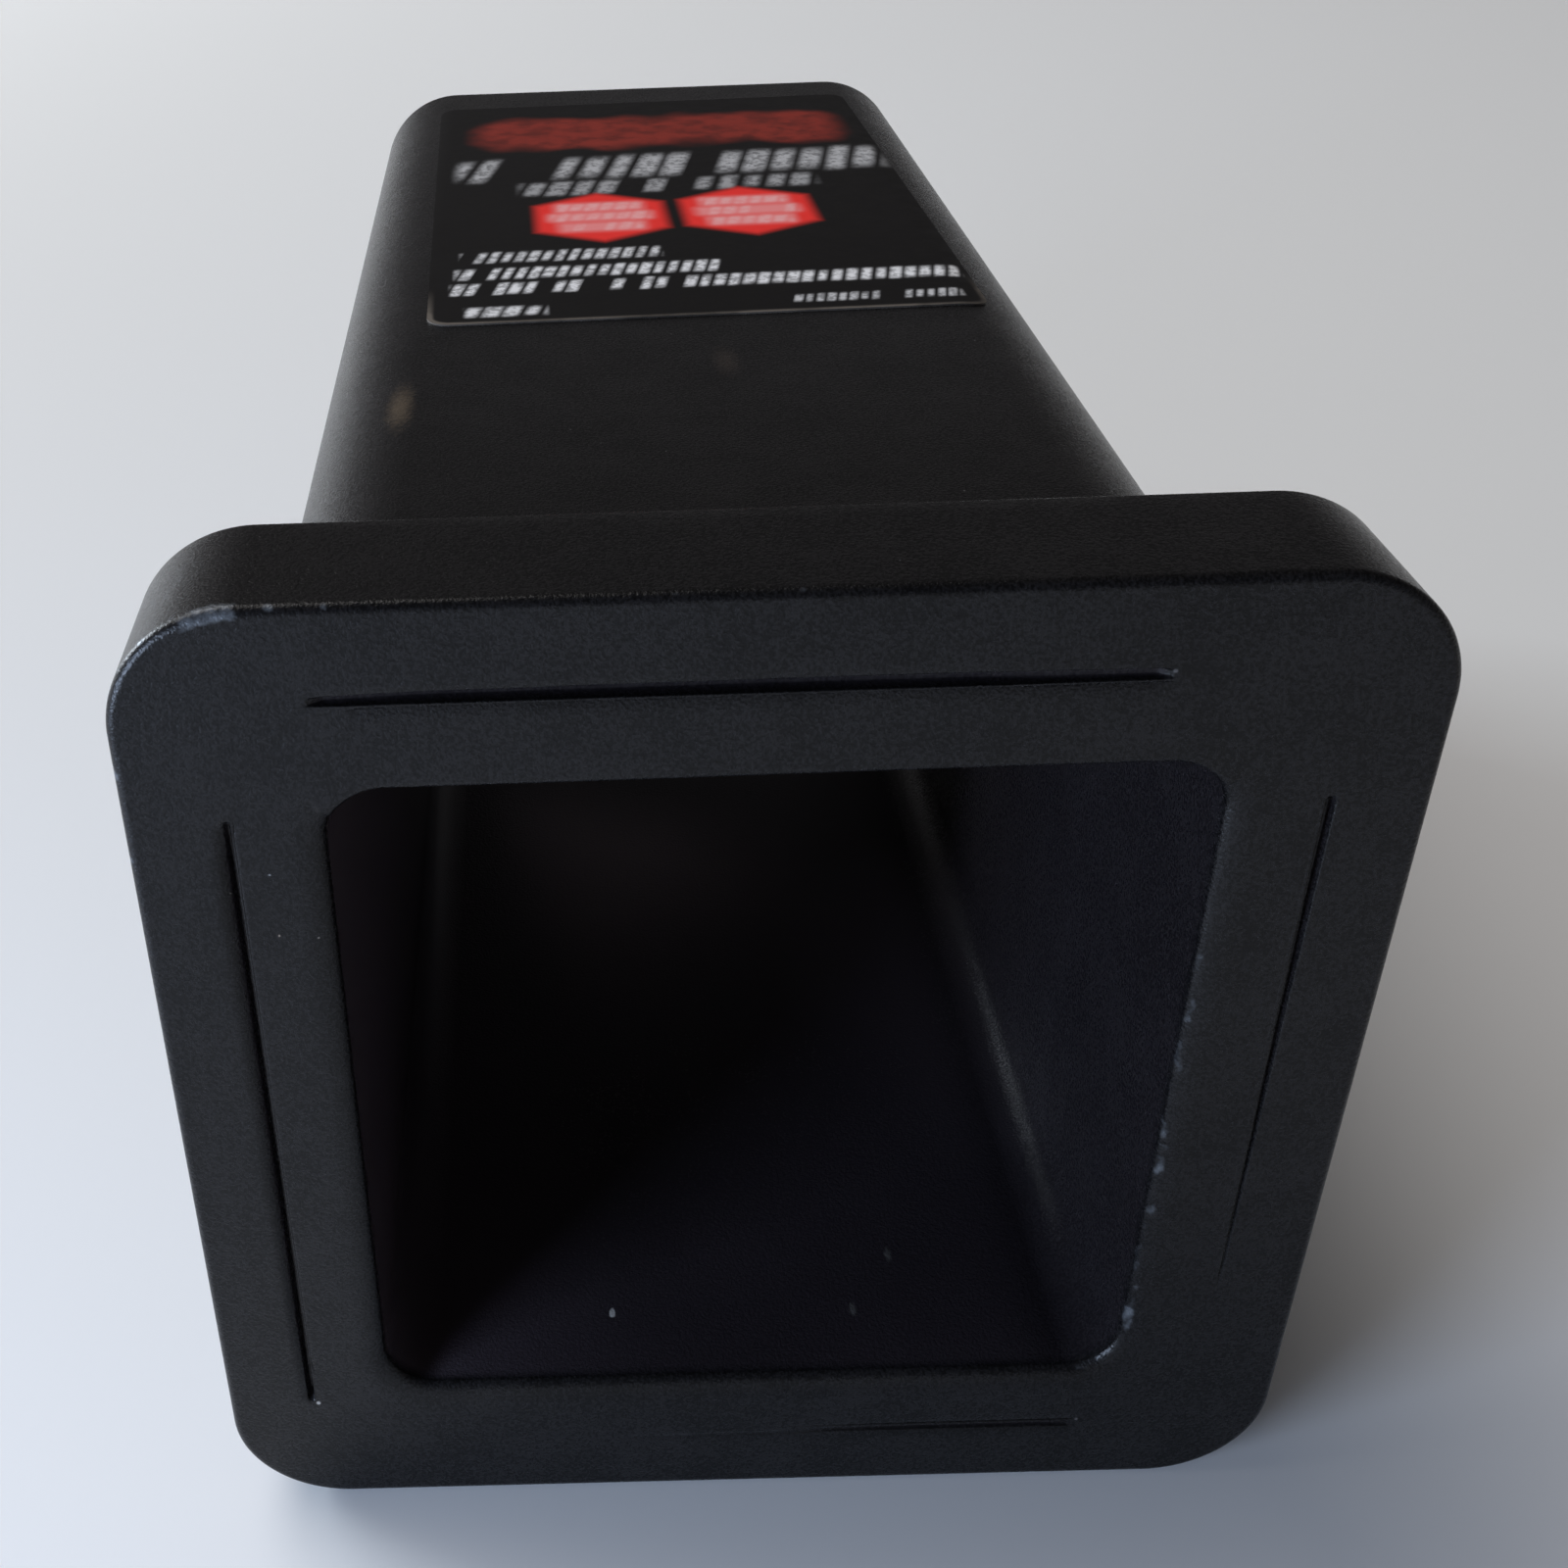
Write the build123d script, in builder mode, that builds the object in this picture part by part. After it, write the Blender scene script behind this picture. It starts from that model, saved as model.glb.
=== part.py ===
from build123d import *
import os

# A hitch reducer sleeve: a square tube that slides into a large hitch receiver
# and takes a smaller square shank. A thick square collar round its mouth stops it
# at the receiver. All sizes are millimetres.
#
# Frame: the origin is on the tube's axis, in the plane of the collar's shoulder,
# which seats on the receiver. +Y runs along the tube, away from its mouth,
# and +Z is up, on the side that carries the label.

# Tube
tube_width = 63.5           # outside, across the flats
tube_wall = 5.4
tube_corner = 9.2           # outside radius of the four long corners
tube_length = 147.0         # from the mouth to the far end
mouth_round = 0.5           # worn edge of the bore at the mouth
far_outer_round = 0.8
far_inner_round = 0.5

# Collar
collar_rim = 6.35           # how far it stands out past the tube, all round
collar_thickness = 10.8
collar_corner = 8.2
collar_edge_round = 0.6

# Joint between the tube and the collar
seam_gap = 0.7              # space on each side between the tube and the cut-out
seam_lip = 0.3              # eased edge of the cut-out at the front face
cut_out_corner = 3.0
weld_depth = 4.0

# How far each corner weld reaches in from the tube's outside, along X and along Z
top_left_reach = (5.4, 7.6)
top_right_reach = (10.0, 8.2)
bottom_left_reach = (37.2, 4.4)
bottom_right_reach = (7.8, 13.2)

# Hitch pin hole, through both side walls
pin_diameter = 15.9
pin_clearance = 0.4
pin_from_shoulder = 63.5
pin_hole_chamfer = 0.4

# Label, a thin film stuck on the top of the tube, a little askew
label_width = 48.0
label_length = 76.0
label_thickness = 0.15
label_corner = 2.0
label_shift = 0.6           # off the middle of the tube, towards +X
label_from_shoulder = 89.6  # to the middle of the label
label_turn = 1.2            # degrees

# Sizes that follow
bore_width = tube_width - 2 * tube_wall
bore_corner = tube_corner - tube_wall
collar_width = tube_width + 2 * collar_rim
cut_out_width = tube_width + 2 * seam_gap
lip_width = cut_out_width + 2 * seam_lip
pin_hole_radius = (pin_diameter + pin_clearance) / 2

# The front face of the collar, flush with the tube's mouth. It looks towards -Y,
# so a negative extrusion goes into the part.
mouth = Plane.XZ.offset(collar_thickness)

os.makedirs("parts", exist_ok=True)


# Outlines that the pieces share
with BuildSketch(mouth) as tube_outline:
    RectangleRounded(tube_width, tube_width, tube_corner)

with BuildSketch(mouth) as cut_out_outline:
    RectangleRounded(cut_out_width, cut_out_width, cut_out_corner)

with BuildSketch(mouth) as lip_outline:
    RectangleRounded(lip_width, lip_width, cut_out_corner + seam_lip)


# Seams: the four straight grooves that the welds leave open, with round ends. Each
# runs from one weld to the next, the first two along X and the other two along Z.
half_tube = tube_width / 2
top_seam = (top_left_reach[0] - half_tube, half_tube - top_right_reach[0])
bottom_seam = (bottom_left_reach[0] - half_tube, half_tube - bottom_right_reach[0])
left_seam = (bottom_left_reach[1] - half_tube, half_tube - top_left_reach[1])
right_seam = (bottom_right_reach[1] - half_tube, half_tube - top_right_reach[1])


def middle(seam):
    return (seam[0] + seam[1]) / 2


def length(seam):
    return seam[1] - seam[0]


seam_width = seam_gap + seam_lip
seam_line = half_tube + seam_width / 2
with BuildSketch(mouth) as seams:
    for seam, side in ((top_seam, 1), (bottom_seam, -1)):
        with Locations((middle(seam), side * seam_line)):
            SlotOverall(length(seam), seam_width)
    for seam, side in ((right_seam, 1), (left_seam, -1)):
        with Locations((side * seam_line, middle(seam))):
            SlotOverall(length(seam), seam_width, rotation=90)


# Tube: open at both ends, with the pin hole drilled across it
with BuildPart() as tube:
    extrude(tube_outline.sketch, amount=-tube_length)
    with BuildSketch(mouth):
        RectangleRounded(bore_width, bore_width, bore_corner)
    extrude(amount=-tube_length, mode=Mode.SUBTRACT)

    with Locations(Plane((half_tube, pin_from_shoulder, 0), z_dir=(1, 0, 0))):
        Hole(pin_hole_radius)
    hole_edges = tube.edges().filter_by(GeomType.CIRCLE).group_by(Axis.X)
    chamfer(hole_edges[0] + hole_edges[-1], pin_hole_chamfer)

    fillet(tube.faces().sort_by(Axis.Y)[0].inner_wires()[0].edges(), mouth_round)
    fillet(tube.faces().sort_by(Axis.Y)[-1].outer_wire().edges(), far_outer_round)
    fillet(tube.faces().sort_by(Axis.Y)[-1].inner_wires()[0].edges(), far_inner_round)
tube.part.label = "tube"
export_step(tube.part, "parts/tube.step")


# Collar: a square plate with eased outer edges and a cut-out for the tube
with BuildPart() as collar:
    with BuildSketch(mouth):
        RectangleRounded(collar_width, collar_width, collar_corner)
    extrude(amount=-collar_thickness)
    fillet(collar.faces().filter_by(Axis.Y).edges(), collar_edge_round)
    extrude(cut_out_outline.sketch, amount=-collar_thickness, mode=Mode.SUBTRACT)
    extrude(lip_outline.sketch, amount=-seam_lip, taper=45, mode=Mode.SUBTRACT)
collar.part.label = "collar"
export_step(collar.part, "parts/collar.step")


# Corner welds: each fills the space between the tube's round corner and the corner
# of the cut-out, from the middle of one seam to the middle of the next, less the
# seams themselves, and is ground flush with the mouth
corners = {
    "weld_top_left": (top_seam, left_seam, -1, 1),
    "weld_top_right": (top_seam, right_seam, 1, 1),
    "weld_bottom_left": (bottom_seam, left_seam, -1, -1),
    "weld_bottom_right": (bottom_seam, right_seam, 1, -1),
}
for weld_name, (seam_along_x, seam_along_z, x_side, z_side) in corners.items():
    with BuildPart() as weld:
        extrude(cut_out_outline.sketch, amount=-weld_depth)
        extrude(lip_outline.sketch, amount=-seam_lip, taper=45)
        extrude(tube_outline.sketch, amount=-weld_depth, mode=Mode.SUBTRACT)
        extrude(seams.sketch, amount=-weld_depth, mode=Mode.SUBTRACT)
        with BuildSketch(mouth):
            with Locations((middle(seam_along_x), middle(seam_along_z))):
                Rectangle(
                    collar_width,
                    collar_width,
                    align=(
                        Align.MIN if x_side > 0 else Align.MAX,
                        Align.MIN if z_side > 0 else Align.MAX,
                    ),
                )
        extrude(amount=-weld_depth, mode=Mode.INTERSECT)
    weld.part.label = weld_name
    export_step(weld.part, f"parts/{weld_name}.step")


# Label: a skin of even thickness that follows the tube's top, where its long sides
# just reach the round corners
with BuildPart() as label:
    with BuildSketch(mouth):
        grown = tube_width + 2 * label_thickness
        RectangleRounded(grown, grown, tube_corner + label_thickness)
    extrude(amount=-tube_length)
    extrude(tube_outline.sketch, amount=-tube_length, mode=Mode.SUBTRACT)
    with BuildSketch(Plane.XY):
        with Locations(Location((label_shift, label_from_shoulder, 0), label_turn)):
            RectangleRounded(label_width, label_length, label_corner)
    extrude(amount=tube_width, mode=Mode.INTERSECT)
label.part.label = "label"
export_step(label.part, "parts/label.step")
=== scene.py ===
# %% [markdown]
# # Dressing a hitch reducer sleeve
#
# The part is a short square steel tube with a thick square collar welded round its mouth. It is
# painted black all over, and a black label is stuck on its top. The solids come from the CAD
# model, which is loaded first and stays where it is. Everything added here is in metres and in
# the CAD model's own frame: the origin is on the tube's axis in the plane of the collar's
# shoulder, +Y runs along the tube, away from its mouth, and +Z is up.

import bmesh
import bpy
import math
import numpy as np
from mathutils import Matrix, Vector


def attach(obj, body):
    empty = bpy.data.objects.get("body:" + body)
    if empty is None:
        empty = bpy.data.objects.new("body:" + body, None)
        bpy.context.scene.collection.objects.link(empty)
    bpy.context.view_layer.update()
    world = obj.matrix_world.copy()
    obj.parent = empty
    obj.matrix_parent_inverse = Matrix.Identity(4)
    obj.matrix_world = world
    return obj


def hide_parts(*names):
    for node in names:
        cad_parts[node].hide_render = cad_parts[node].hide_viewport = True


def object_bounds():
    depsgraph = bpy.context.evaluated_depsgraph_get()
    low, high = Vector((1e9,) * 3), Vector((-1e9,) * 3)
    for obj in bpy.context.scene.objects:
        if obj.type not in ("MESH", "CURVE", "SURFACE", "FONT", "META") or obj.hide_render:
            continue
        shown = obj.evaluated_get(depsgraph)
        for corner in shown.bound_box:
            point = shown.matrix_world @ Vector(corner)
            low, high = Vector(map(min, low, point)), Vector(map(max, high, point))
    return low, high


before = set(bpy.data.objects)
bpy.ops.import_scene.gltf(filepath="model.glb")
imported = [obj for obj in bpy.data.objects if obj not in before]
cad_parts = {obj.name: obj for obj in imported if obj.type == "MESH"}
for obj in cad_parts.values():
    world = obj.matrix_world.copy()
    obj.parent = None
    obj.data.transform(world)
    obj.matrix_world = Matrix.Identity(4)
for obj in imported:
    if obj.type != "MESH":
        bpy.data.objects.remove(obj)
bpy.context.view_layer.update()
cad_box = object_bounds()
MM = 0.001  # lengths below are in millimetres, times this
print("CAD nodes:", sorted(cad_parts))
print("CAD box in mm:", [[round(v / MM, 2) for v in corner] for corner in cad_box])

# %% [markdown]
# ## The camera
#
# The photograph was taken from close by, above the mouth and a little to its left, so the collar
# looks much larger than the far end of the tube. A camera can be placed by eye, or worked out
# from a few corners of the object whose sizes are known. Here it was worked out: the turn and
# the place are those at which the edges of the CAD model fall on the edges in the picture. The
# picture was cut from a larger one, so its middle isn't the lens's middle, and a small shift of
# the lens makes up for that.

# %% Camera
IMAGE_SIDE = 1600  # pixels
LENS_LENGTH = 1862.37  # pixels
LENS_MIDDLE = (543.09, 745.53)  # pixels from the top left corner of the picture
CAMERA_PLACE = (-12.416, -98.220, 84.219)  # mm
CAMERA_TURN = (58.06222, 1.98226, -0.23471)  # degrees
SENSOR = 36.0  # mm

camera = bpy.data.objects.new("camera", bpy.data.cameras.new("camera"))
bpy.context.scene.collection.objects.link(camera)
bpy.context.scene.camera = camera
camera.location = [v * MM for v in CAMERA_PLACE]
camera.rotation_euler = [math.radians(v) for v in CAMERA_TURN]
camera.data.sensor_width = SENSOR
camera.data.lens = LENS_LENGTH / IMAGE_SIDE * SENSOR
camera.data.shift_x = (IMAGE_SIDE / 2 - LENS_MIDDLE[0]) / IMAGE_SIDE
camera.data.shift_y = (LENS_MIDDLE[1] - IMAGE_SIDE / 2) / IMAGE_SIDE
camera.data.clip_start = 0.01
camera.data.clip_end = 20.0
print("lens in mm:", round(camera.data.lens, 2), "shift:", camera.data.shift_x, camera.data.shift_y)

# %% [markdown]
# ## A surface from a grid
#
# Every new piece is a grid of points, worked out as whole arrays. One helper turns such a grid
# into a mesh. The grid may close on itself along either direction, as a ring or a tube does.

# %% Grid helper
def grid_faces(rows, columns, close_rows=False, close_columns=False):
    """Four corners for each cell of a grid: this point, the next one along the row, the one
    after it in the next row, and the one below this. Closing joins the last row or column to
    the first."""
    r = np.arange(rows if close_rows else rows - 1)[:, None]
    c = np.arange(columns if close_columns else columns - 1)[None, :]
    r1, c1 = (r + 1) % rows, (c + 1) % columns
    corners = (r * columns + c, r * columns + c1, r1 * columns + c1, r1 * columns + c)
    return np.stack([np.broadcast_to(k, (r.size, c.size)) for k in corners], -1).reshape(-1, 4)


def mesh_piece(name, points, faces, material):
    """An object whose mesh has these points, in metres, and these four-cornered faces."""
    mesh = bpy.data.meshes.new(name)
    mesh.vertices.add(len(points))
    mesh.vertices.foreach_set("co", np.ascontiguousarray(points, np.float32).ravel())
    mesh.loops.add(faces.size)
    mesh.loops.foreach_set("vertex_index", np.ascontiguousarray(faces, np.int32).ravel())
    mesh.polygons.add(len(faces))
    mesh.polygons.foreach_set("loop_start", np.arange(0, faces.size, 4, dtype=np.int32))
    mesh.polygons.foreach_set("use_smooth", np.full(len(faces), True))
    mesh.update(calc_edges=True)
    mesh.validate()
    mesh.materials.append(material)
    piece = bpy.data.objects.new(name, mesh)
    bpy.context.scene.collection.objects.link(piece)
    print(name, "has", 2 * len(faces), "triangles")
    return piece


# %% [markdown]
# ## Helpers for materials
#
# A material is a small graph of nodes. Writing it with a few short helpers keeps the graph
# readable: one adds a node and joins what it is given to its inputs, and the others do sums, soft
# steps and blends.

# %% Node helpers
def add_node(tree, kind, inputs=None, **settings):
    """A node of this kind, its settings set, and each named input joined or given a value."""
    node = tree.nodes.new(kind)
    for key, value in settings.items():
        setattr(node, key, value)
    for key, value in (inputs or {}).items():
        socket = node.inputs[key]
        if isinstance(value, bpy.types.NodeSocket):
            tree.links.new(value, socket)
        else:
            socket.default_value = value
    return node


def sums(tree, operation, a, b=0.0, c=0.0):
    """One Math node: a and b, and c where the operation takes three."""
    return add_node(tree, "ShaderNodeMath", {0: a, 1: b, 2: c}, operation=operation).outputs[0]


def vector_sums(tree, operation, a, b=(0, 0, 0)):
    """One Vector Math node. The caller picks its output."""
    return add_node(tree, "ShaderNodeVectorMath", {0: a, 1: b}, operation=operation).outputs


def ramp(tree, value, low, high, out_low=0.0, out_high=1.0):
    """Smoothly from out_low, where the value is low, to out_high, where it is high."""
    node = add_node(
        tree,
        "ShaderNodeMapRange",
        {"Value": value, "From Min": low, "From Max": high, "To Min": out_low, "To Max": out_high},
        interpolation_type="SMOOTHSTEP",
    )
    return node.outputs["Result"]


def blend_colours(tree, factor, a, b):
    """From colour a, where the factor is 0, to colour b, where it is 1."""
    # a Mix node has a set of sockets for each kind of data, and these are the ones for colours
    return add_node(tree, "ShaderNodeMix", {0: factor, 6: a, 7: b}, data_type="RGBA").outputs[2]


def new_group(name, inputs, outputs):
    """An empty node group and its two end nodes. Its inputs are names with their values, a triple
    for a place in space, and its outputs are names of plain numbers."""
    tree = bpy.data.node_groups.new(name, "ShaderNodeTree")
    for label, value in inputs.items():
        kind = "NodeSocketVector" if isinstance(value, tuple) else "NodeSocketFloat"
        tree.interface.new_socket(label, in_out="INPUT", socket_type=kind).default_value = value
    for label in outputs:
        tree.interface.new_socket(label, in_out="OUTPUT", socket_type="NodeSocketFloat")
    print("group", name, "gives", outputs)
    return tree, tree.nodes.new("NodeGroupInput"), tree.nodes.new("NodeGroupOutput")


def group_node(tree, group, **values):
    """A group placed in a tree, with its own values."""
    return add_node(tree, "ShaderNodeGroup", values, node_tree=group)


def new_material(name):
    """An empty material with a Principled shader wired to its output."""
    material = bpy.data.materials.new(name)
    material.use_nodes = True
    tree = material.node_tree
    tree.nodes.clear()
    shader = tree.nodes.new("ShaderNodeBsdfPrincipled")
    output = tree.nodes.new("ShaderNodeOutputMaterial")
    tree.links.new(shader.outputs[0], output.inputs["Surface"])
    print("material", name)
    return material, tree, shader


# %% [markdown]
# ## Powder-coat grain
#
# Powder coat is plastic dust, baked on. Where it is matt black it has a fine sandy skin, about a
# quarter of a millimetre from bump to bump, over slow soft waves where the coat is thicker or
# thinner. It could be carved into the mesh, but bumps this small only show as a change of tone, so
# two noise patterns do it: a fine one for the skin and a slow one for the waves. They read
# Object coordinates, so the grain has one size all over and runs on from piece to piece.

# %% Grain group
def object_place(tree):
    """Object coordinates: where a point is in the object's own frame, in metres."""
    return add_node(tree, "ShaderNodeTexCoord").outputs["Object"]


def noise(tree, where, size, detail):
    """A noise pattern whose lumps are about this many millimetres across."""
    scale = sums(tree, "DIVIDE", 1 / MM, size)
    inputs = {"Vector": where, "Scale": scale, "Detail": detail, "Roughness": 0.6}
    return add_node(tree, "ShaderNodeTexNoise", inputs).outputs["Fac"]


sizes = {"Grain": 0.25, "Waves": 5.0}
grain, grain_in, grain_out = new_group("powder_grain", sizes, ["Height", "Tone"])
place = object_place(grain)
fine = noise(grain, place, grain_in.outputs["Grain"], 2.0)
slow = noise(grain, place, grain_in.outputs["Waves"], 3.0)
# the height is the skin plus half the waves, the tone three parts of skin to one of waves
grain.links.new(sums(grain, "MULTIPLY_ADD", slow, 0.5, fine), grain_out.inputs["Height"])
both = sums(grain, "MULTIPLY_ADD", fine, 0.75, sums(grain, "MULTIPLY", slow, 0.25))
grain.links.new(both, grain_out.inputs["Tone"])

# %% [markdown]
# ## Pale specks
#
# Dust and tiny knocks leave pale dots, a tenth or two of a millimetre across and some millimetres
# apart. A Voronoi pattern gives each cell of space one point. The dot is where the distance to
# that point is small, and a random number for each cell leaves most of the cells empty.

# %% Speck group
SPECK_EDGE = (0.05, -0.03)  # mm from a dot's radius, where it starts and where it is full

sizes = {"Spacing": 3.0, "Radius": 0.1, "Share": 0.3}
specks, specks_in, specks_out = new_group("pale_specks", sizes, ["Mask"])
place = object_place(specks)
spacing = specks_in.outputs["Spacing"]
cells = {"Vector": place, "Scale": sums(specks, "DIVIDE", 1 / MM, spacing)}
cells = add_node(specks, "ShaderNodeTexVoronoi", cells)
away = sums(specks, "MULTIPLY", cells.outputs["Distance"], spacing)
chance = add_node(specks, "ShaderNodeSeparateColor", {"Color": cells.outputs["Color"]})
chosen = sums(specks, "LESS_THAN", chance.outputs[0], specks_in.outputs["Share"])
size = sums(specks, "MULTIPLY", specks_in.outputs["Radius"], chance.outputs[1])
dot = ramp(specks, sums(specks, "SUBTRACT", away, size), *SPECK_EDGE)
specks.links.new(sums(specks, "MULTIPLY", dot, chosen), specks_out.inputs["Mask"])

# %% [markdown]
# ## Marks in one place
#
# A few marks are single: a spatter of weld at the end of a seam, a crumb in the bore, a tan smudge
# on the tube's edge. They could be painted on by hand, but a position in space needs no painting:
# each mark is the space near one point, stretched along the axes if need be, with a ragged edge.

# %% Mark group
RAGGED = 0.8  # how far a mark's edge wanders, as a share of its reach
RAGGED_SCALE = 2.5  # bumps of that edge in a millimetre

sizes = {"Middle": (0, 0, 0), "Reach": (0.1, 0.1, 0.1), "Softness": 0.4}
mark, mark_in, mark_out = new_group("single_mark", sizes, ["Mask"])
place = object_place(mark)
ragged = {"Vector": place, "Scale": RAGGED_SCALE / MM, "Detail": 2.0}
ragged = add_node(mark, "ShaderNodeTexNoise", ragged).outputs["Fac"]
off = vector_sums(mark, "SUBTRACT", place, mark_in.outputs["Middle"])[0]
off = vector_sums(mark, "DIVIDE", off, mark_in.outputs["Reach"])[0]
far = vector_sums(mark, "LENGTH", off)["Value"]
far = sums(mark, "ADD", far, sums(mark, "MULTIPLY_ADD", ragged, RAGGED, -RAGGED / 2))
softness = mark_in.outputs["Softness"]
fade = sums(mark, "SUBTRACT", far, sums(mark, "SUBTRACT", 1.0, softness))
fade = sums(mark, "DIVIDE", fade, softness)
mark.links.new(ramp(mark, fade, 1.0, 0.0), mark_out.inputs["Mask"])

# middle and reach in mm, softness, colour, strength
marks = [
    # spatter and crumbs at the ends of the seams and on the tube's left rim
    ((-31.60, -10.8, -27.60), (0.20, 0.5, 0.24), 0.5, (0.30, 0.28, 0.26, 1), 1.0),
    ((21.84, -10.8, 32.31), (0.18, 0.5, 0.18), 0.7, (0.060, 0.056, 0.056, 1), 1.0),
    ((24.15, -10.8, -31.65), (0.18, 0.5, 0.18), 0.7, (0.070, 0.064, 0.064, 1), 1.0),
    ((-32.38, -10.8, 18.74), (0.11, 0.5, 0.11), 0.5, (0.18, 0.16, 0.14, 1), 1.0),
    ((-29.87, -10.8, 20.25), (0.12, 0.5, 0.10), 0.5, (0.14, 0.14, 0.14, 1), 1.0),
    ((-29.78, -10.8, 15.67), (0.10, 0.5, 0.12), 0.5, (0.20, 0.16, 0.13, 1), 1.0),
    ((-27.43, -10.8, 15.36), (0.10, 0.5, 0.10), 0.5, (0.17, 0.15, 0.13, 1), 1.0),
    # crumbs on the bore's floor
    ((-9.8, -4.4, -26.35), (0.28, 0.55, 0.4), 0.5, (0.55, 0.53, 0.50, 1), 1.0),
    ((8.3, -4.6, -26.35), (0.35, 0.8, 0.4), 0.7, (0.10, 0.095, 0.09, 1), 1.0),
    ((11.8, 0.6, -26.35), (0.35, 0.9, 0.4), 0.7, (0.09, 0.085, 0.08, 1), 1.0),
    # smudges on the tube's top
    ((-23.8, 33.6, 31.5), (1.5, 6.0, 1.5), 1.0, (0.105, 0.078, 0.052, 1), 0.70),
    ((1.8, 40.8, 31.75), (1.5, 4.4, 1.5), 1.0, (0.060, 0.045, 0.036, 1), 0.30),
]
print("single marks:", len(marks))

# %% [markdown]
# ## Black paint
#
# The shader is a plain matt plastic: almost black, fairly rough, with a weak reflection. The grain
# group shifts the colour and the roughness a little and raises the bumps. Where a piece carries a
# "wear" value, which the mesh code below sets on knocked edges and on edges that catch the light,
# the coat turns pale grey in patches: partly bare steel where it is rubbed thin, and partly a
# painted highlight. Where it carries an "inside" value, a pale colour lies on the coat: partly
# fine dust and partly painted fill light in the shaded bore and seams.

# %% Paint material
PAINT_DARK = (0.0030, 0.0028, 0.0030, 1)
PAINT_LIGHT = (0.0095, 0.0088, 0.0092, 1)
# the grey below is bare steel and also a painted highlight, and the dust colour is dust and also
# painted fill light
WORN_GREY_AND_HIGHLIGHT = (0.100, 0.108, 0.118, 1)
BORE_DUST_AND_FILL_LIGHT = (0.0700, 0.0560, 0.0660, 1)
SPECK_COLOUR = (0.10, 0.10, 0.10, 1)
PAINT_ROUGHNESS = (0.31, 0.23)  # in the hollows of the grain, and on its bumps
INSIDE_ROUGHNESS = -0.06  # added where the "inside" value is 1
BARE_METALLIC = 0.35  # paint is left in the pores of worn steel
BUMP_HEIGHT = 0.052  # mm
RUB_PATCH = 0.45  # mm


def with_marks(tree, colour):
    """The colour with every single mark blended over it."""
    for middle, reach, softness, tint, strength in marks:
        values = {
            "Middle": [v * MM for v in middle],
            "Reach": [v * MM for v in reach],
            "Softness": softness,
        }
        spot = group_node(tree, mark, **values).outputs["Mask"]
        colour = blend_colours(tree, sums(tree, "MULTIPLY", spot, strength), colour, tint)
    return colour


paint, tree, shader = new_material("black_paint")
skin = group_node(tree, grain, Grain=0.21, Waves=5.0)
tone = ramp(tree, skin.outputs["Tone"], 0.43, 0.57)
colour = blend_colours(tree, tone, PAINT_DARK, PAINT_LIGHT)
dots = group_node(tree, specks, Spacing=2.2, Radius=0.08, Share=0.16)
colour = blend_colours(tree, dots.outputs["Mask"], colour, SPECK_COLOUR)
# this value brings in a pale colour: dust, and painted fill light in the shaded bore and seams
inside = add_node(tree, "ShaderNodeAttribute", attribute_name="inside").outputs["Fac"]
colour = with_marks(tree, blend_colours(tree, inside, colour, BORE_DUST_AND_FILL_LIGHT))

# this value brings in bare steel, and a painted highlight on edges that catch the light
wear_and_highlight = add_node(tree, "ShaderNodeAttribute", attribute_name="wear_and_highlight").outputs["Fac"]
place = object_place(tree)
patches = sums(tree, "MULTIPLY_ADD", noise(tree, place, RUB_PATCH, 2.0), 0.9, 0.55)
bare_and_highlight = ramp(tree, sums(tree, "MULTIPLY", patches, wear_and_highlight), 0.30, 0.85)
colour = blend_colours(tree, bare_and_highlight, colour, WORN_GREY_AND_HIGHLIGHT)
rough = ramp(tree, skin.outputs["Tone"], 0.35, 0.65, *PAINT_ROUGHNESS)
rough = sums(tree, "MULTIPLY_ADD", inside, INSIDE_ROUGHNESS, rough)
height = {"Height": skin.outputs["Height"], "Strength": 1.0, "Distance": BUMP_HEIGHT * MM}
bump = add_node(tree, "ShaderNodeBump", height)

tree.links.new(colour, shader.inputs["Base Color"])
tree.links.new(rough, shader.inputs["Roughness"])
tree.links.new(sums(tree, "MULTIPLY", bare_and_highlight, BARE_METALLIC), shader.inputs["Metallic"])
tree.links.new(bump.outputs[0], shader.inputs["Normal"])
shader.inputs["Specular IOR Level"].default_value = 0.20

# %% [markdown]
# ## Outlines
#
# Every cross-section of this object is a square with round corners. One function gives the points
# of such an outline. Its parameter t runs from 0 to 8 as it goes round: the even stretches are the
# four sides and the odd ones the four corners. Outlines of different sizes share t, so a surface
# is made by carrying a profile round them.

# %% Outline functions
def outline(t, half, corner):
    """x and z of a point on a round-cornered square. On a side, x is half the width and z goes
    straight from one corner to the next. On a corner, the point turns through 90 degrees about
    the corner's middle. Each quarter of t turns the whole by another 90 degrees."""
    part = np.floor(t)
    along = t - part
    angle = along * np.pi / 2
    flat = half - corner
    on_corner = part % 2 == 1
    x = np.where(on_corner, flat + corner * np.cos(angle), half)
    z = np.where(on_corner, flat + corner * np.sin(angle), (2 * along - 1) * flat)
    turn = (part // 2) * np.pi / 2
    return x * np.cos(turn) - z * np.sin(turn), x * np.sin(turn) + z * np.cos(turn)


def rows_round(count, half, corner, spacing_at):
    """count values of t, closer together where spacing_at(x, z) says so: the running sum of one
    over the spacing is divided into equal parts."""
    t = np.linspace(0, 8, 20001)
    just_short = 7.999999  # t of the last point, which would otherwise start a ninth stretch
    x, z = outline(np.minimum(t, just_short), half, corner)
    step = np.hypot(np.diff(x), np.diff(z)) / spacing_at(x, z)[1:]
    run = np.concatenate([[0], np.cumsum(step)])
    print("rows:", count, "finest spacing, mm:", round(run[-1] / count * spacing_at(x, z).min(), 3))
    return np.interp(np.arange(count) / count * run[-1], run, t)[:, None]


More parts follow.
